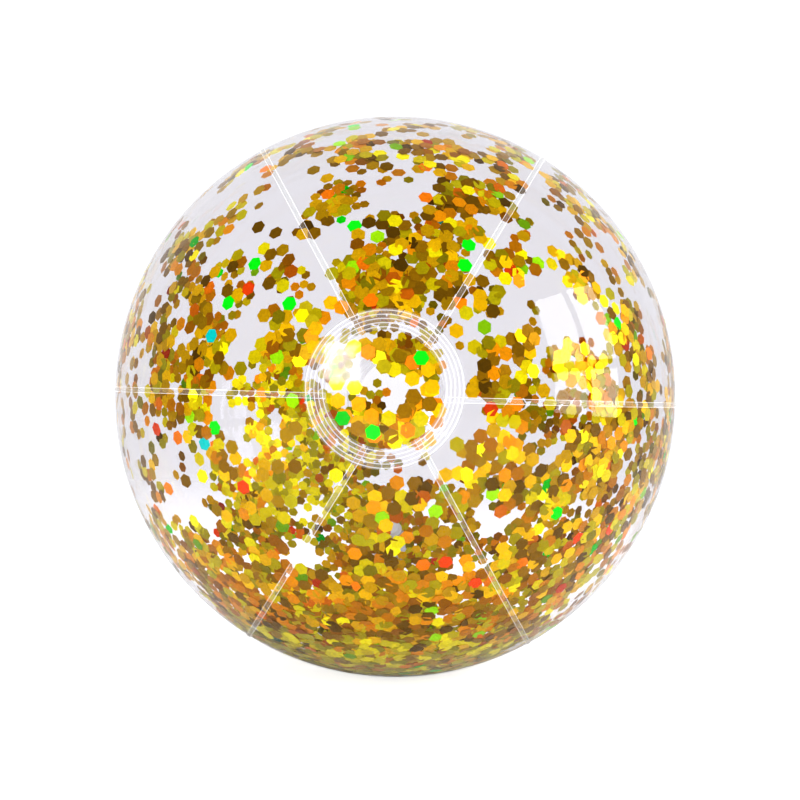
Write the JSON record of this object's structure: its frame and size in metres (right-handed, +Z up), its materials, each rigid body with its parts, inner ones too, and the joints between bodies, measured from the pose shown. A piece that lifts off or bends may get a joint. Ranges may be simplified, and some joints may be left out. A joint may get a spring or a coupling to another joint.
{
  "type": "inflatable beach ball",
  "caption": "Clear inflatable beach ball of welded gores with round end patches, loose gold hexagonal confetti inside, and a push-in valve with a stopper.",
  "frame": {"origin": "centre of the inflated ball", "axes": "+Z up; the poles lie on Y, the front patch at -Y; a seam at +X and one at -X; the valve is 40 degrees below +Y"},
  "size_m": [0.2642, 0.2656, 0.2634],
  "materials": {
    "film": "clear",
    "patch_film": "clear",
    "valve_vinyl": "satin clear",
    "gold_foil": "holographic foil",
    "loose_foil": "loose holographic foil flakes"
  },
  "bodies": {
    "ball": {"back_patch": "patch_film", "flake_cyan_1": "gold_foil", "flake_cyan_2": "gold_foil", "flake_green_1": "gold_foil", "flake_green_2": "gold_foil", "flake_green_3": "gold_foil", "flake_green_4": "gold_foil", "flake_green_5": "gold_foil", "flake_green_6": "gold_foil", "flake_green_7": "gold_foil", "flake_lemon_1": "gold_foil", "flake_lemon_2": "gold_foil", "flake_lemon_3": "gold_foil", "flake_lime_1": "gold_foil", "flake_lime_2": "gold_foil", "flake_lime_3": "gold_foil", "flake_lime_4": "gold_foil", "flake_orange_1": "gold_foil", "flake_orange_2": "gold_foil", "flake_orange_3": "gold_foil", "flake_orange_4": "gold_foil", "flake_orange_5": "gold_foil", "flake_pocket_01": "gold_foil", "flake_pocket_02": "gold_foil", "flake_pocket_03": "gold_foil", "flake_pocket_04": "gold_foil", "flake_pocket_05": "gold_foil", "flake_pocket_06": "gold_foil", "flake_pocket_07": "gold_foil", "flake_pocket_08": "gold_foil", "flake_pocket_09": "gold_foil", "flake_pocket_10": "gold_foil", "flake_pocket_11": "gold_foil", "flake_pocket_12": "gold_foil", "flake_pocket_13": "gold_foil", "flake_pocket_14": "gold_foil", "flake_pocket_15": "gold_foil", "flake_pocket_16": "gold_foil", "flake_pocket_17": "gold_foil", "flake_pocket_18": "gold_foil", "flake_red_1": "gold_foil", "flake_red_2": "gold_foil", "flake_red_3": "gold_foil", "front_patch": "patch_film", "gore_1": "film", "gore_2": "film", "gore_3": "film", "gore_4": "film", "gore_5": "film", "gore_6": "film", "valve_flange": "valve_vinyl"},
    "stem": {"valve_stem": "valve_vinyl"},
    "stopper": {"valve_plug": "valve_vinyl", "plug_strap": "valve_vinyl"},
    "flap": {"check_flap": "valve_vinyl"},
    "confetti": {"loose_confetti": "loose_foil"}
  },
  "joints": [
    {"name": "stem_slide", "type": "slide", "parent": "ball", "child": "stem", "axis": [0, 0.766, -0.6428], "range_m": [0, 0.0095]},
    {"name": "stopper_swing", "type": "hinge", "parent": "stem", "child": "stopper", "pos_m": [0, 0.10792, -0.08102], "axis": [1, 0, 0], "range_deg": [0, 150]},
    {"name": "flap_swing", "type": "hinge", "parent": "stem", "child": "flap", "pos_m": [0, 0.09233, -0.07121], "axis": [-1, 0, 0], "range_deg": [0, 70]},
    {"name": "confetti_roll", "type": "hinge", "parent": "ball", "child": "confetti", "pos_m": [0, 0, 0], "axis": [0, 1, 0], "continuous": true}
  ]
}
